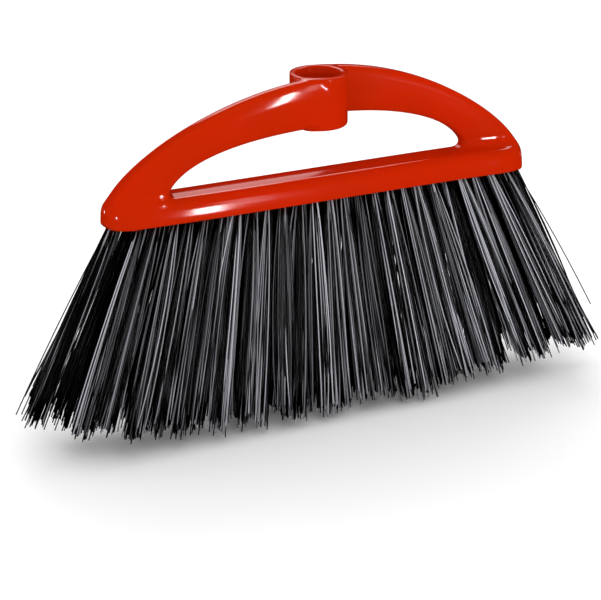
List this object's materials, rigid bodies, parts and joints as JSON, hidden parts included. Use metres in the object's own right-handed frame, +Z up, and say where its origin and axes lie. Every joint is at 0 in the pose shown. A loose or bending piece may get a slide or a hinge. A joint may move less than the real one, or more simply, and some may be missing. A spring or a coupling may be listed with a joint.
{
  "type": "broom head",
  "caption": "Household broom head: a one-piece plastic block with an arched grip and a handle socket, carrying long bristles that fan out at both ends.",
  "frame": {"origin": "on the axis of the handle socket, at the socket's floor, where the end of the handle comes to rest", "axes": "+X along the head, +Y towards its back, +Z up along the handle; the bristles hang towards -Z"},
  "size_m": [0.3884, 0.0716, 0.2079],
  "materials": {
    "red_plastic": "glossy moulded polypropylene",
    "black_bristle": "satin drawn filament",
    "steel_wire": "drawn flat wire"
  },
  "bodies": {
    "root": {"head_moulding": "red_plastic", "tuft_column_01": "black_bristle", "tuft_column_02": "black_bristle", "tuft_column_03": "black_bristle", "tuft_column_04": "black_bristle", "tuft_column_05": "black_bristle", "tuft_column_06": "black_bristle", "tuft_column_07": "black_bristle", "tuft_column_08": "black_bristle", "tuft_column_09": "black_bristle", "tuft_column_10": "black_bristle", "tuft_column_11": "black_bristle", "tuft_column_12": "black_bristle", "tuft_column_13": "black_bristle", "tuft_column_14": "black_bristle", "tuft_column_15": "black_bristle", "tuft_column_16": "black_bristle", "tuft_column_17": "black_bristle", "tuft_column_18": "black_bristle", "tuft_column_19": "black_bristle", "tuft_column_20": "black_bristle", "tuft_column_21": "black_bristle", "tuft_column_22": "black_bristle", "tuft_column_23": "black_bristle", "tuft_column_24": "black_bristle", "tuft_column_25": "black_bristle", "tuft_column_26": "black_bristle", "tuft_column_27": "black_bristle", "tuft_column_28": "black_bristle", "wire_anchors_row_1": "steel_wire", "wire_anchors_row_2": "steel_wire", "wire_anchors_row_3": "steel_wire", "wire_anchors_row_4": "steel_wire"}
  },
  "joints": []
}
